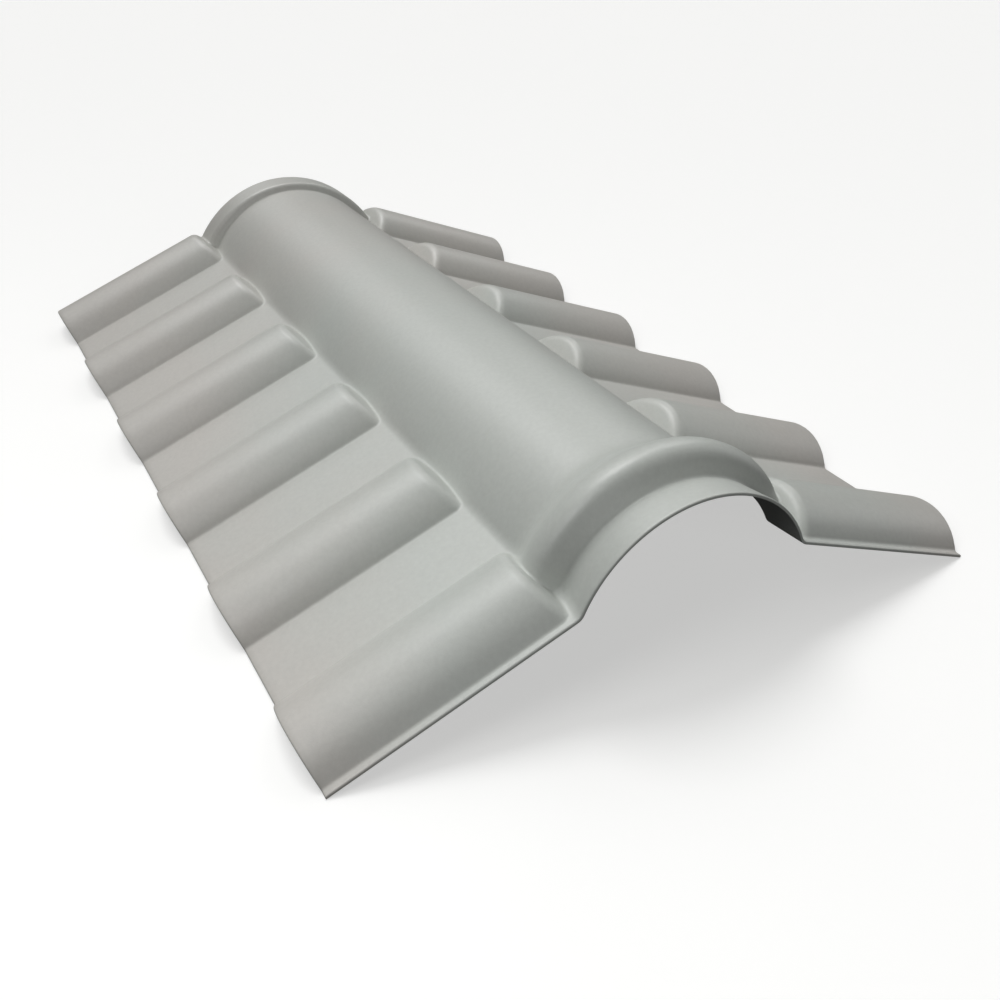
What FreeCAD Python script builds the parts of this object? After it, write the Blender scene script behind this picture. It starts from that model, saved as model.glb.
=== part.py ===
import FreeCAD, Part
import math
import os

# Roof ridge cap: one formed plastic sheet, with a round barrel along the ridge and a ribbed flank
# on each side. Millimetres. X runs across the ridge, Y along it from the front end to the back end,
# and Z up. The origin is under the middle of the cap, at the level of its lower edges.

# Sheet
sheet = 2.5

# Rolls of the flanks, which lie over the waves of the roof sheets
pitch = 160.0
roll_count = 6
roll_width = 90.0
roll_height = 24.0
front_strip = 6.0
lap = 80.0

# Flanks
half_width = 288.0
flank_angle = 21.4

# Closed upper ends of the rolls
roll_end_gap = 102.0
roll_end_lean = 23.0
roll_end_round = 6.0

# Barrel along the ridge
barrel_radius = 113.5
barrel_axis = 21.0
barrel_fillet = 4.0

# Lip and raised bead at the front end, which go over the collar of the cap before
lip_radius = 106.5
lip_axis = 37.0
bead_radius = 122.0
bead_from_front = 52.0
bead_round = 27.5
bead_back_slope = 35.0

# Bulge of the turned walls behind the bead and in front of the collar
wall_bulge = 0.5

# Collar at the back end
collar_radius = 126.0
collar_axis = 16.5
collar_length = 33.0
collar_step_angle = 65.0
collar_round = 5.0

# Values that follow from the sizes above
length = (roll_count - 1) * pitch + lap
front_end = -length / 2
back_end = length / 2
tilt = math.radians(flank_angle)
edge_height = sheet * math.cos(tilt)
roll_radius = ((roll_width / 2) ** 2 + roll_height ** 2) / (2 * roll_height)

# Reach of the filled bodies past the sheet, all of which is trimmed away
margin = 40.0
depth = 2 * roll_radius

UP_SLOPE = FreeCAD.Vector(-math.cos(tilt), 0, math.sin(tilt))
ALONG = FreeCAD.Vector(0, 1, 0)
OUT = FreeCAD.Vector(math.sin(tilt), 0, math.cos(tilt))
EDGE = FreeCAD.Vector(half_width, 0, edge_height)


def on_flank(up, along, out):
    """Point given by distances up the right flank from its edge, along the ridge, and off its face."""
    return EDGE + UP_SLOPE * up + ALONG * along + OUT * out


def mirrored(shape_or_point):
    """The same thing on the left of the ridge."""
    if isinstance(shape_or_point, FreeCAD.Vector):
        return FreeCAD.Vector(-shape_or_point.x, shape_or_point.y, shape_or_point.z)
    return shape_or_point.mirror(FreeCAD.Vector(0, 0, 0), FreeCAD.Vector(1, 0, 0))


def line(start, end):
    return Part.makeLine(start, end)


def arc(start, middle, end):
    return Part.Arc(start, middle, end).toShape()


def bend(start, corner, end):
    """Round bend between two straight runs, by its ends and the corner where the runs would meet."""
    curve = Part.BezierCurve()
    curve.setPoles([start, corner, end])
    curve.setWeight(2, start.distanceToPoint(end) / (2 * start.distanceToPoint(corner)))
    return curve.toShape()


def bulged(start, end, outward):
    """Wall of a turned body between two points, which bulges outward a little."""
    return arc(start, (start + end) / 2 + outward * wall_bulge, end)


def face_of(edges):
    return Part.Face(Part.Wire(edges))


def polygon(corners):
    return face_of([line(corners[i - 1], corners[i]) for i in range(len(corners))])


def ridge_body(radius, axis, y_start, y_end, inset):
    """Filled stretch of cap: two flanks and an arch, joined by fillets, with its skin moved in by inset."""
    centre = FreeCAD.Vector(0, 0, axis)
    reach = radius + barrel_fillet
    start = on_flank(0, 0, barrel_fillet) - centre
    along_slope = start.dot(UP_SLOPE)
    up = -along_slope - math.sqrt(along_slope ** 2 - start.Length ** 2 + reach ** 2)
    fillet_centre = on_flank(up, 0, barrel_fillet)

    to_arch = (centre - fillet_centre).normalize()
    to_flank = OUT * -1
    halfway = (to_arch + to_flank).normalize()
    fillet = barrel_fillet + inset
    on_arch = fillet_centre + to_arch * fillet
    on_bend = fillet_centre + halfway * fillet
    on_slope = fillet_centre + to_flank * fillet
    foot = on_flank(-margin, 0, -inset)
    low = FreeCAD.Vector(foot.x, 0, -depth - inset)
    top = FreeCAD.Vector(0, 0, axis + radius - inset)

    outline = [
        line(mirrored(low), low),
        line(low, foot),
        line(foot, on_slope),
        arc(on_slope, on_bend, on_arch),
        arc(on_arch, top, mirrored(on_arch)),
        arc(mirrored(on_arch), mirrored(on_bend), mirrored(on_slope)),
        line(mirrored(on_slope), mirrored(foot)),
        line(mirrored(foot), mirrored(low)),
    ]
    section = face_of(outline)
    section.translate(ALONG * y_start)
    return section.extrude(ALONG * (y_end - y_start))


def half_turned(profile, centre, axis):
    """A profile that stands up from an axis, turned from a quarter turn on one side to one on the other."""
    profile.rotate(centre, axis, -90)
    return profile.revolve(centre, axis, 180)


def bead_body(inset):
    """Filled front bead: round at the front and on top, with a gentle slope back to the barrel."""
    slope = math.radians(bead_back_slope)
    uphill = FreeCAD.Vector(0, math.sin(slope), math.cos(slope))
    radius = bead_round + sheet - inset
    centre = FreeCAD.Vector(0, front_end + bead_from_front, lip_axis + bead_radius - bead_round - sheet)
    front = centre - ALONG * radius
    crest_front = centre + FreeCAD.Vector(0, -uphill.y, uphill.z) * radius
    crest_back = centre + uphill * radius
    front_foot = FreeCAD.Vector(0, front.y, lip_axis)
    run = (crest_back.z - lip_axis) / math.tan(slope)
    back_foot = FreeCAD.Vector(0, crest_back.y + run, lip_axis)
    outline = [
        line(front_foot, front),
        arc(front, crest_front, crest_back),
        bulged(crest_back, back_foot, uphill),
        line(back_foot, front_foot),
    ]
    return half_turned(face_of(outline), FreeCAD.Vector(0, 0, lip_axis), ALONG)


def collar_body(y_end, inset):
    """Filled back collar: a steep step up from the barrel, a rounded corner and a plain band."""
    step = math.radians(collar_step_angle)
    half_step = math.tan(step / 2)
    top = collar_axis + collar_radius - inset
    corner = FreeCAD.Vector(0, back_end - collar_length + inset * half_step, top)
    down_step = FreeCAD.Vector(0, -math.cos(step), -math.sin(step))
    off_step = FreeCAD.Vector(0, -math.sin(step), math.cos(step))
    tangent = (collar_round + sheet - inset) * half_step
    bend_start = corner + down_step * tangent
    bend_end = corner + ALONG * tangent
    step_foot = corner + down_step * ((top - collar_axis) / math.sin(step))
    end_top = FreeCAD.Vector(0, y_end, top)
    end_foot = FreeCAD.Vector(0, y_end, collar_axis)
    outline = [
        bulged(step_foot, bend_start, off_step),
        bend(bend_start, corner, bend_end),
        line(bend_end, end_top),
        line(end_top, end_foot),
        line(end_foot, step_foot),
    ]
    return half_turned(face_of(outline), FreeCAD.Vector(0, 0, collar_axis), ALONG)


def roll_body(inset):
    """Filled roll of the right flank, with a leaning end wall, a round rim and its front foot at Y = 0."""
    radius = roll_radius - inset
    middle = roll_width / 2
    axis_out = roll_height - roll_radius
    front = on_flank(-margin, middle - radius, axis_out)
    crest = on_flank(-margin, middle, axis_out + radius)
    back = on_flank(-margin, middle + radius, axis_out)
    section = face_of([arc(front, crest, back), line(back, front)])
    bar = section.extrude(UP_SLOPE * (half_width + margin))

    lean = math.radians(roll_end_lean)
    wall_up = (half_width - roll_end_gap) / math.cos(tilt) - inset / math.cos(lean)
    corners = [
        on_flank(-2 * margin, middle, axis_out),
        on_flank(wall_up - axis_out * math.tan(lean), middle, axis_out),
        on_flank(wall_up - depth * math.tan(lean), middle, depth),
        on_flank(-2 * margin, middle, depth),
    ]
    side = polygon(corners)
    side.translate(ALONG * -depth)
    roll = bar.common(side.extrude(ALONG * 2 * depth))
    if inset:
        return roll
    rim = [edge for edge in roll.Edges if isinstance(edge.Curve, Part.Ellipse)]
    return roll.makeFillet(roll_end_round, rim)


def filled_cap(inset, overrun):
    """The whole cap as a filled body, with its skin moved in by inset and its ends run out by overrun."""
    bead_crest = front_end + bead_from_front
    pieces = [
        ridge_body(barrel_radius, barrel_axis, bead_crest, back_end + overrun, inset),
        ridge_body(lip_radius, lip_axis, front_end - overrun, bead_crest, inset),
        bead_body(inset),
        collar_body(back_end + overrun, inset),
    ]
    roll = roll_body(inset)
    for number in range(roll_count):
        right = roll.translated(ALONG * (front_end + front_strip + number * pitch))
        pieces.append(right)
        pieces.append(mirrored(right))
    return pieces[0].fuse(pieces[1:])


def trim_body():
    """Room between the two ends and the two lower edges, which are cut square to the flanks."""
    high = on_flank(0, front_end, half_width)
    low = on_flank(0, front_end, -sheet - roll_radius)
    return polygon([low, high, mirrored(high), mirrored(low)]).extrude(ALONG * length)


def ridge_cap():
    skin = filled_cap(0, margin)
    inside = filled_cap(sheet, 2 * margin)
    shape = skin.cut(inside).common(trim_body())
    return shape.removeSplitter()


os.makedirs("parts", exist_ok=True)
cap = ridge_cap()
cap.exportStep("parts/ridge_cap.step")
print("solids", len(cap.Solids), "valid", cap.isValid(), "volume", round(cap.Volume), cap.BoundBox)
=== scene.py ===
import math

import bpy
import numpy as np
from mathutils import Matrix, Vector


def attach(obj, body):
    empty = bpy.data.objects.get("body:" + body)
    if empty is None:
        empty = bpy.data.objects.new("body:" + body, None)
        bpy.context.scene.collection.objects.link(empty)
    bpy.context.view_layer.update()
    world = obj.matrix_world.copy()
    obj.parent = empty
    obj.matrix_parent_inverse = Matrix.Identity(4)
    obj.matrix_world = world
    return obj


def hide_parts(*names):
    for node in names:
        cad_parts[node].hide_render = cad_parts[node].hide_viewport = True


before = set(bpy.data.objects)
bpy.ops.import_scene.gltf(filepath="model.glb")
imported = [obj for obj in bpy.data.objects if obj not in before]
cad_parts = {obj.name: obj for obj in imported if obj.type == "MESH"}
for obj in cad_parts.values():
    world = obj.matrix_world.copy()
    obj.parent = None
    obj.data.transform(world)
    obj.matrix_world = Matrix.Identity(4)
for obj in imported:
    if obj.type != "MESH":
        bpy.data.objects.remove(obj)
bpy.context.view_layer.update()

# The cap is one formed sheet. X runs across the ridge, Y along it from the front end to the back
# end, and Z up. Sizes of the cap are in millimetres; the floor, lights and camera are in metres.

# Sizes that are the same as in the part's source
SHEET = 2.5
PITCH = 160.0
ROLLS = 6
ROLL_WIDTH, ROLL_HEIGHT = 90.0, 24.0
FRONT_STRIP = 6.0
LAP = 80.0
HALF_WIDTH = 288.0
FLANK_ANGLE = math.radians(21.4)
BARREL_RADIUS, BARREL_AXIS = 113.5, 21.0
LIP_RADIUS, LIP_AXIS = 106.5, 37.0
BEAD_FROM_FRONT = 52.0
BEAD_BACK_ROUND, BEAD_BACK_SLOPE = 27.5 + SHEET, math.radians(35.0)
COLLAR_RADIUS, COLLAR_AXIS = 126.0, 16.5
COLLAR_LENGTH = 33.0

# Sizes that differ a little from the source: the leaning, bowed roll ends, the fall of the lip from
# its edge to the bead, the bead's crest, which stays just inside the solid, and its steep front,
# the collar's step and the rounded cut edges
END_GAP, END_LEAN = 103.5, math.radians(29.0)
END_ROUND, END_BOW = 5.0, 4.5
LIP_FALL = 7.0
BEAD_RADIUS = 121.98
BEAD_FRONT_ROUND, BEAD_FRONT_SLOPE = 14.0, math.radians(64.0)
COLLAR_ROUND, COLLAR_STEP = 2.5 + SHEET, math.radians(76.0)
TRIM_ROUND = 1.4

# Softness of the creases, where the sheet was drawn over the mould
SOFT_BARREL = 3.0
SOFT_ROLL_FRONT, SOFT_ROLL_BACK = 1.6, 2.2
SOFT_LIP, SOFT_BEAD_BACK = 2.0, 7.0
SOFT_BEAD_RUN = 20.0
SOFT_COLLAR = 3.0

# Mesh lines on one side of the ridge, as runs of start, end and spacing, and then on the flank
RIDGE_LINES = [(0, 84, 4.0), (84, 94, 2.0), (94, 108, 0.7), (108, 124, 1.2)]
FLANK_START, FLANK_MARGIN, FLANK_LINES = 124, 6, 14

# Mesh rows along the ridge: their usual spacing, and closer runs measured from each feature
ROW_SPACING, ROW_CLOSEST = 6.5, 0.55
ROLL_FRONT_ROWS = (-2.5, 3.0, 0.7)
ROLL_BACK_ROWS = (-5.0, 5.5, 1.2)
BEAD_ROWS = (16, 90, 2.0)
LIP_ROWS = (28, 38, 0.8)
COLLAR_ROWS = (-9, 8, 0.9)

# Mesh lines over the rounded cut edges, as shares of the rounding, and the clear strip beside them
TRIM_LINES = [1.0, 0.5, 0.2, 0.05, 0.0]
TRIM_MARGIN = 1.5

# Rays on which the skin is looked for: where they have turned square to the flank, and their length
RAY_TURN = 110.0
RAY_START, RAY_END, RAY_HALVINGS = -12.0, 90.0, 36

# Resin, with a painted colour cast of the light in its colour: cooler at the ridge and front, warmer at
# the edges and back
RESIN_IOR = 1.5
RESIN_UNDER_COOL_LIGHT, RESIN_UNDER_WARM_LIGHT = (0.505, 0.528, 0.497, 1), (0.533, 0.517, 0.485, 1)
WARM_LIGHT_OFF_RIDGE, WARM_LIGHT_TO_BACK = 8.0, 0.5
LIGHT_CAST_START, LIGHT_CAST_END = 0.45, 1.0

# Studio floor
FLOOR_REACH, FLOOR_CURVE = 14.0, 16.0
FLOOR_SIDES, FLOOR_RINGS = 96, 19
FLOOR_COLOUR, FLOOR_GLOW = (0.52, 0.52, 0.515, 1), (1.0, 1.0, 0.99, 1)
FLOOR_GLOW_STRENGTH = 0.52

# Far lights: azimuth (0 is behind the cap, 90 to its right) and elevation in degrees, and strength
FAR_LIGHTS = {
    "back_high": (0, 62, 1.68),
    "left_high": (305, 62, 0.18),
    "back": (0, 38, 0.30),
    "back_right": (45, 38, 0.46),
    "right_low": (90, 14, 0.22),
    "front_low": (180, 14, 0.48),
}
FAR_DISTANCE, FAR_SPREAD = 10, math.radians(30)

# Near light: place, size and power in watts
NEAR_PLACE, NEAR_SIZE, NEAR_POWER = (-0.9, -0.5, 1.1), 0.8, 4.6

LIGHT_AIM = Vector((0, 0, 0.06))
WORLD_STRENGTH = 0.02

# Camera: its place, and its turn as an axis times an angle in radians
CAMERA_PLACE = (-0.43303, -0.93361, 0.53868)
CAMERA_TURN = Vector((2.075, -0.527, 0.300))
CAMERA_LENS, CAMERA_SENSOR = 39.95, 36.0
CAMERA_CLIP = (0.05, 200.0)

MM_PER_METRE = 1000

# Values that follow from the sizes above
LENGTH = (ROLLS - 1) * PITCH + LAP
FRONT, BACK = -LENGTH / 2, LENGTH / 2
SIN, COS, TAN = math.sin(FLANK_ANGLE), math.cos(FLANK_ANGLE), math.tan(FLANK_ANGLE)
EDGE_Z = SHEET * COS
ROLL_RADIUS = ((ROLL_WIDTH / 2) ** 2 + ROLL_HEIGHT ** 2) / (2 * ROLL_HEIGHT)


def join(a, b, soft):
    """Union of two forms given by distance, with a soft crease."""
    h = np.maximum(soft - np.abs(a - b), 0.0) / soft
    return np.minimum(a, b) - h * h * soft / 4


def meet(a, b, radius):
    """Common part of two forms given by distance, with a round edge."""
    corner = np.hypot(np.maximum(a + radius, 0.0), np.maximum(b + radius, 0.0))
    return np.minimum(np.maximum(a, b), -radius) + corner


def add_roll(body, y, out, up):
    """The body with its rolls, by distances off the flank and up it from the lower edge."""
    first = FRONT + FRONT_STRIP
    number = np.clip(np.floor((y - first + (PITCH - ROLL_WIDTH) / 2) / PITCH), 0, ROLLS - 1)
    across = y - first - number * PITCH - ROLL_WIDTH / 2
    bar = np.hypot(across, out - ROLL_HEIGHT + ROLL_RADIUS) - ROLL_RADIUS
    foot = (HALF_WIDTH - END_GAP) / COS + END_BOW * (1 - (2 * across / ROLL_WIDTH) ** 2)
    wall = (up - foot) * math.cos(END_LEAN) + out * math.sin(END_LEAN)
    to_back = np.clip(across / ROLL_WIDTH + 0.5, 0, 1)
    soft = SOFT_ROLL_FRONT + (SOFT_ROLL_BACK - SOFT_ROLL_FRONT) * to_back
    return join(body, meet(bar, wall, END_ROUND), soft)


def bead_side(away, from_axis, radius, slope):
    """One side of the bead: a round crest that runs into a straight slope away from it."""
    rise = from_axis - BEAD_RADIUS + radius
    straight = away * math.sin(slope) + rise * math.cos(slope)
    return np.where(np.arctan2(away, rise) < slope, np.hypot(away, rise), straight) - radius


def add_bead(body, along, from_axis):
    """The body with its bead, by distances along the ridge from the crest and off the lip's axis."""
    back = bead_side(along, from_axis, BEAD_BACK_ROUND, BEAD_BACK_SLOPE)
    front = bead_side(-along, from_axis, BEAD_FRONT_ROUND, BEAD_FRONT_SLOPE)
    soft = SOFT_LIP + (SOFT_BEAD_BACK - SOFT_LIP) * np.clip(along / SOFT_BEAD_RUN, 0, 1)
    return join(body, np.where(along < 0, front, back), soft)


def add_collar(body, x, y, z):
    """The body with its collar: a plain band behind a steep step."""
    band = np.hypot(x, z - COLLAR_AXIS) - COLLAR_RADIUS
    step = (BACK - COLLAR_LENGTH - y) * math.sin(COLLAR_STEP) + band * math.cos(COLLAR_STEP)
    return join(body, meet(band, step, COLLAR_ROUND), SOFT_COLLAR)


def skin(x, y, z):
    """Distance off the outer skin of the cap, below zero inside it."""
    x = np.abs(x)
    out = (x - HALF_WIDTH) * SIN + (z - EDGE_Z) * COS
    up = -(x - HALF_WIDTH) * COS + (z - EDGE_Z) * SIN
    crest = FRONT + BEAD_FROM_FRONT
    barrel = np.hypot(x, z - BARREL_AXIS) - BARREL_RADIUS
    from_lip_axis = np.hypot(x, z - LIP_AXIS)
    lip = from_lip_axis - LIP_RADIUS + LIP_FALL * (y - FRONT) / BEAD_FROM_FRONT

    body = join(out, np.where(y < crest, lip, barrel), SOFT_BARREL)
    body = add_roll(body, y, out, up)
    body = add_bead(body, y - crest, from_lip_axis)
    return add_collar(body, x, y, z)


def on_ray(s, height):
    """Point of the ray over a place on the plain gable, s from the ridge."""
    share = np.clip(np.abs(s) / RAY_TURN, 0, 1)
    lean = FLANK_ANGLE * np.sign(s) * share * share * (3 - 2 * share)
    base = EDGE_Z + (HALF_WIDTH - np.abs(s)) * TAN
    return s + height * np.sin(lean), base + height * np.cos(lean)


def surface(s, y, inset):
    """Grid of points on the skin moved in by inset, found by halving along each ray."""
    s, y = np.meshgrid(s, y)
    low, high = np.full(s.shape, RAY_START), np.full(s.shape, RAY_END)
    for _ in range(RAY_HALVINGS):
        middle = (low + high) / 2
        x, z = on_ray(s, middle)
        outside = skin(x, y, z) + inset > 0
        high = np.where(outside, middle, high)
        low = np.where(outside, low, middle)
    x, z = on_ray(s, (low + high) / 2)
    return np.stack([x, y, z], -1)


def edge_drop(s, y):
    """How far the rounding of the cut edges lies below the skin."""
    s, y = np.meshgrid(s, y)
    to_edge = np.minimum(HALF_WIDTH - np.abs(s), LENGTH / 2 - np.abs(y))
    short = np.clip(1 - to_edge / TRIM_ROUND, 0, 1)
    return TRIM_ROUND * (1 - np.sqrt(1 - short ** 2))


def grid_lines():
    """Places of the mesh lines across the ridge and of the mesh rows along it."""
    trim = TRIM_ROUND * np.array(TRIM_LINES)
    half = [np.arange(*run) for run in RIDGE_LINES]
    half.append(np.linspace(FLANK_START, HALF_WIDTH - FLANK_MARGIN, FLANK_LINES))
    half.append(HALF_WIDTH - trim)
    half = np.concatenate(half)
    lines = np.concatenate([-half[:0:-1], half])

    rows = [np.arange(FRONT, BACK, ROW_SPACING)]
    for number in range(ROLLS):
        foot = FRONT + FRONT_STRIP + number * PITCH
        rows.append(foot + np.arange(*ROLL_FRONT_ROWS))
        rows.append(foot + ROLL_WIDTH + np.arange(*ROLL_BACK_ROWS))
    rows.append(FRONT + np.arange(*BEAD_ROWS))
    rows.append(FRONT + np.arange(*LIP_ROWS))
    rows.append(BACK - COLLAR_LENGTH + np.arange(*COLLAR_ROWS))
    rows = np.unique(np.concatenate(rows))
    rows = rows[(rows > FRONT + TRIM_MARGIN) & (rows < BACK - TRIM_MARGIN)]
    kept = [rows[0]]
    for row in rows:
        if row - kept[-1] > ROW_CLOSEST:
            kept.append(row)
    return lines, np.concatenate([FRONT + trim[::-1], kept, BACK - trim])


def quads(a, b, c, d):
    """Faces by the numbers of their four corners."""
    return np.stack([a, b, c, d], -1).reshape(-1, 4)


def sheet_mesh(name):
    """The formed sheet: outer and inner skin with the cut edges between them."""
    lines, rows = grid_lines()
    outer = surface(lines, rows, edge_drop(lines, rows))
    inner = surface(lines, rows, SHEET)
    points = np.concatenate([outer.reshape(-1, 3), inner.reshape(-1, 3)]) / MM_PER_METRE

    each = len(rows) * len(lines)
    top = np.arange(each).reshape(len(rows), len(lines))
    under = top + each
    border = [top[0], top[::-1, 0], top[-1, ::-1], top[:, -1]]
    faces = np.concatenate([
        quads(top[:-1, :-1], top[:-1, 1:], top[1:, 1:], top[1:, :-1]),
        quads(under[:-1, :-1], under[1:, :-1], under[1:, 1:], under[:-1, 1:]),
    ] + [quads(run[:-1], run[:-1] + each, run[1:] + each, run[1:]) for run in border])
    mesh = bpy.data.meshes.new(name)
    mesh.from_pydata(points.tolist(), [], faces.tolist())
    mesh.polygons.foreach_set("use_smooth", np.ones(len(faces), bool))
    mesh.update()

    # Sharp edges: around each skin, and down the four corners of the sheet
    ends = np.zeros(len(mesh.edges) * 2, np.int32)
    mesh.edges.foreach_get("vertices", ends)
    ends = ends.reshape(-1, 2)
    one_skin = (ends[:, 0] < each) == (ends[:, 1] < each)
    sides_met = np.tile(np.bincount(np.concatenate(border), minlength=each), 2)[ends].min(1)
    mark = mesh.attributes.new("sharp_edge", "BOOLEAN", "EDGE")
    mark.data.foreach_set("value", (one_skin & (sides_met > 0)) | (sides_met > 1))
    return mesh


def add_object(name, data):
    """An object in the scene."""
    made = bpy.data.objects.new(name, data)
    bpy.context.scene.collection.objects.link(made)
    return made


def new_material(name):
    """A material and its shader."""
    material = bpy.data.materials.new(name)
    material.use_nodes = True
    return material, material.node_tree.nodes["Principled BSDF"]


def node(tree, kind, place, values=None):
    """A node, with the values of its inputs if they are given."""
    made = tree.nodes.new(kind)
    made.location = place
    for key, value in (values or {}).items():
        made.inputs[key].default_value = value
    return made


def noise(tree, where, place, scale, detail, roughness):
    """Noise over the cap, from 0 to 1."""
    values = {"Scale": scale, "Detail": detail, "Roughness": roughness}
    made = node(tree, "ShaderNodeTexNoise", place, values)
    tree.links.new(where, made.inputs["Vector"])
    return made.outputs["Fac"]


def map_range(tree, value, place, values):
    """A value taken from one range to another."""
    made = node(tree, "ShaderNodeMapRange", place, values)
    tree.links.new(value, made.inputs["Value"])
    return made.outputs["Result"]


def add_scaled(tree, value, scale, rest, place):
    """A value times a scale, plus the rest."""
    made = node(tree, "ShaderNodeMath", place, {1: scale})
    made.operation = "MULTIPLY_ADD"
    tree.links.new(value, made.inputs[0])
    tree.links.new(rest, made.inputs[2])
    return made.outputs["Value"]


def resin_colour_and_light_cast(tree, where):
    """Light grey in faint clouds, with a painted colour cast of the light: cooler at the ridge and front
    and warmer at the edges and back.
    """
    link = tree.links.new
    axes = node(tree, "ShaderNodeSeparateXYZ", (-1100, 750))
    link(where, axes.inputs["Vector"])
    squared = node(tree, "ShaderNodeMath", (-900, 850))
    squared.operation = "MULTIPLY"
    link(axes.outputs["X"], squared.inputs[0])
    link(axes.outputs["X"], squared.inputs[1])
    clouds_and_light_cast = noise(tree, where, (-1100, 500), scale=4.5, detail=4.0, roughness=0.55)
    # Painted colour cast of the light: warmer off the ridge and towards the back
    clouds_and_light_cast = add_scaled(tree, squared.outputs["Value"], WARM_LIGHT_OFF_RIDGE, clouds_and_light_cast, (-700, 850))
    clouds_and_light_cast = add_scaled(tree, axes.outputs["Y"], WARM_LIGHT_TO_BACK, clouds_and_light_cast, (-500, 850))
    light_cast_ramp = node(tree, "ShaderNodeValToRGB", (-300, 700))
    cool, warm = light_cast_ramp.color_ramp.elements
    cool.position, cool.color = LIGHT_CAST_START, RESIN_UNDER_COOL_LIGHT
    warm.position, warm.color = LIGHT_CAST_END, RESIN_UNDER_WARM_LIGHT
    link(clouds_and_light_cast, light_cast_ramp.inputs["Fac"])

    mottle = noise(tree, where, (-1100, 250), scale=240.0, detail=3.0, roughness=0.65)
    limits = {"From Min": 0.3, "From Max": 0.7, "To Min": 0.965, "To Max": 1.035}
    mottle = map_range(tree, mottle, (-700, 300), limits)
    colour = node(tree, "ShaderNodeVectorMath", (-50, 500))
    colour.operation = "SCALE"
    link(light_cast_ramp.outputs["Color"], colour.inputs[0])
    link(mottle, colour.inputs["Scale"])
    return colour.outputs["Vector"]


def resin_bump(tree, where):
    """Slight waves of the formed sheet under a fine matt grain."""
    link = tree.links.new
    grain = noise(tree, where, (-1100, -300), scale=900.0, detail=2.0, roughness=0.5)
    waves = noise(tree, where, (-1100, -550), scale=22.0, detail=2.0, roughness=0.5)
    wavy = node(tree, "ShaderNodeBump", (-500, -450), {"Strength": 0.12, "Distance": 0.002})
    link(waves, wavy.inputs["Height"])
    grained = node(tree, "ShaderNodeBump", (-250, -300), {"Strength": 0.10, "Distance": 0.0004})
    link(grain, grained.inputs["Height"])
    link(wavy.outputs["Normal"], grained.inputs["Normal"])
    return grained.outputs["Normal"]


def resin_material():
    """Satin resin."""
    material, shader = new_material("resin")
    shader.inputs["IOR"].default_value = RESIN_IOR
    tree = material.node_tree
    link = tree.links.new
    where = node(tree, "ShaderNodeTexCoord", (-1400, 0)).outputs["Object"]
    haze = noise(tree, where, (-1100, 0), scale=14.0, detail=5.0, roughness=0.6)
    gloss = map_range(tree, haze, (-800, 0), {"To Min": 0.36, "To Max": 0.46})
    link(resin_colour_and_light_cast(tree, where), shader.inputs["Base Color"])
    link(gloss, shader.inputs["Roughness"])
    link(resin_bump(tree, where), shader.inputs["Normal"])
    return material


def floor_material():
    """Pale matt studio floor, a little lit through so that it stays pale to the picture's edges."""
    material, shader = new_material("floor")
    shader.inputs["Roughness"].default_value = 0.9
    shader.inputs["Specular IOR Level"].default_value = 0.0
    shader.inputs["Base Color"].default_value = FLOOR_COLOUR
    shader.inputs["Emission Color"].default_value = FLOOR_GLOW
    shader.inputs["Emission Strength"].default_value = FLOOR_GLOW_STRENGTH
    material.cycles.emission_sampling = "NONE"
    return material


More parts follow.
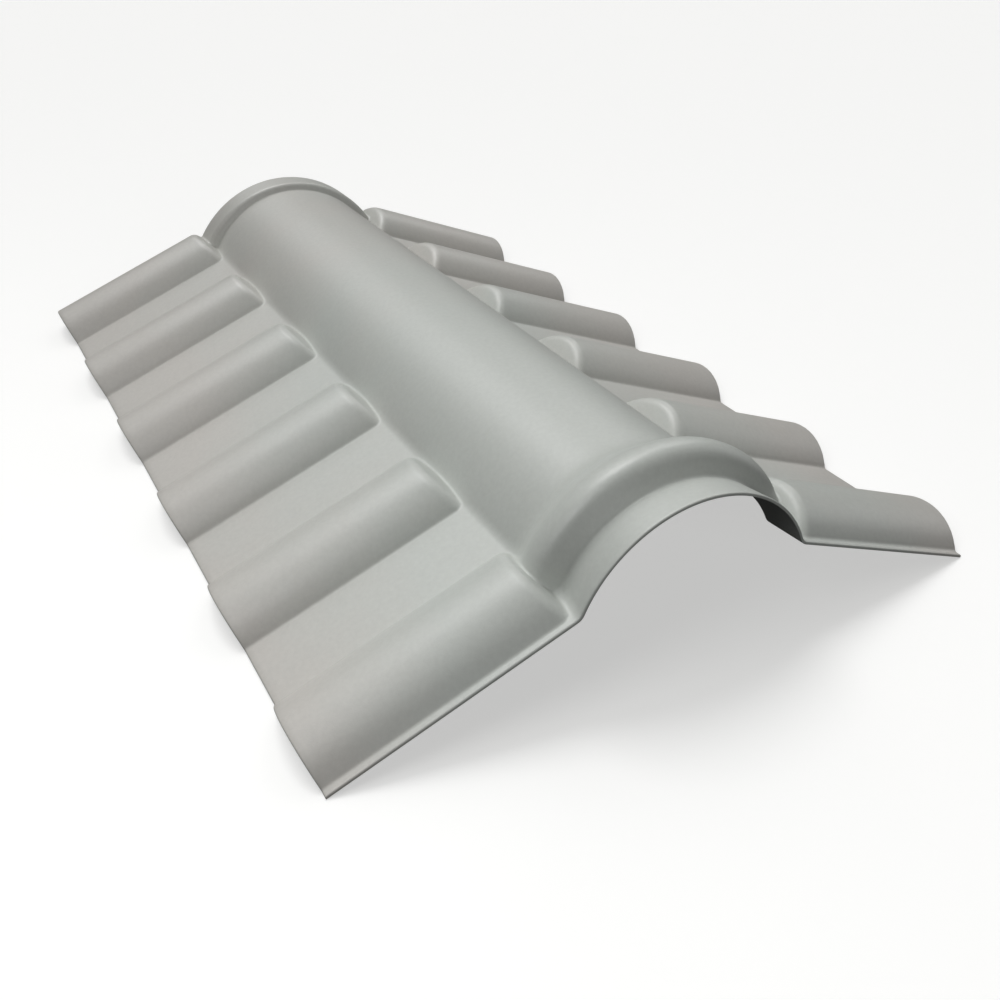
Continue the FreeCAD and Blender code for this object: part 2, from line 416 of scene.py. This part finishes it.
def add_floor():
    """Round floor that curves up into a wall far from the cap; it lets the far lights through."""
    turns = np.linspace(0, 2 * math.pi, FLOOR_SIDES, endpoint=False)
    points = []
    for bend in np.linspace(0, math.pi / 2, FLOOR_RINGS):
        reach = FLOOR_REACH + FLOOR_CURVE * math.sin(bend)
        height = FLOOR_CURVE * (1 - math.cos(bend))
        points += [(reach * math.cos(turn), reach * math.sin(turn), height) for turn in turns]
    faces = [list(range(FLOOR_SIDES))]
    for ring in range(FLOOR_RINGS - 1):
        low, high = ring * FLOOR_SIDES, (ring + 1) * FLOOR_SIDES
        for side in range(FLOOR_SIDES):
            after = (side + 1) % FLOOR_SIDES
            faces.append([low + side, low + after, high + after, high + side])
    mesh = bpy.data.meshes.new("floor")
    mesh.from_pydata(points, [], faces)
    # The flat middle face is first; the ring faces after it are smooth
    mesh.polygons.foreach_set("use_smooth", np.arange(len(faces)) > 0)
    mesh.materials.append(floor_material())
    floor = add_object("floor", mesh)
    floor.visible_diffuse = False
    floor.visible_glossy = False
    floor.visible_shadow = False


def add_lamp(name, data, place):
    """Lamp at a place, aimed at the middle of the cap."""
    lamp = add_object(name, data)
    lamp.location = place
    lamp.rotation_mode = "QUATERNION"
    lamp.rotation_quaternion = (LIGHT_AIM - lamp.location).to_track_quat("-Z", "Y")
    lamp.visible_camera = False


def add_lights():
    """Wide soft lights from far off, a round soft box close to the cap, and a little light all round."""
    for name, (azimuth, elevation, strength) in FAR_LIGHTS.items():
        data = bpy.data.lights.new(name, "SUN")
        data.energy = strength
        data.angle = FAR_SPREAD
        turn, rise = math.radians(azimuth), math.radians(elevation)
        flat = math.cos(rise)
        towards = Vector((math.sin(turn) * flat, math.cos(turn) * flat, math.sin(rise)))
        add_lamp(name, data, towards * FAR_DISTANCE)

    data = bpy.data.lights.new("front_left", "AREA")
    data.shape = "DISK"
    data.size = NEAR_SIZE
    data.energy = NEAR_POWER
    add_lamp("front_left", data, NEAR_PLACE)

    world = bpy.data.worlds.new("world")
    world.use_nodes = True
    background = world.node_tree.nodes["Background"]
    background.inputs["Color"].default_value = (1, 1, 1, 1)
    background.inputs["Strength"].default_value = WORLD_STRENGTH
    bpy.context.scene.world = world


def add_camera():
    """Camera at the photograph's viewing angle."""
    data = bpy.data.cameras.new("camera")
    data.sensor_width = CAMERA_SENSOR
    data.lens = CAMERA_LENS
    data.clip_start, data.clip_end = CAMERA_CLIP
    camera = add_object("camera", data)
    seen = Matrix.Rotation(CAMERA_TURN.length, 3, CAMERA_TURN.normalized())
    axes = Matrix((seen[0], -seen[1], -seen[2])).transposed()
    camera.matrix_world = Matrix.Translation(CAMERA_PLACE) @ axes.to_4x4()
    bpy.context.scene.camera = camera


cap = add_object("ridge_cap_sheet", sheet_mesh("ridge_cap_sheet"))
cap.data.materials.append(resin_material())
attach(cap, "root")
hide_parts("ridge_cap")

add_floor()
add_camera()
add_lights()
bpy.context.scene.view_settings.view_transform = "Standard"
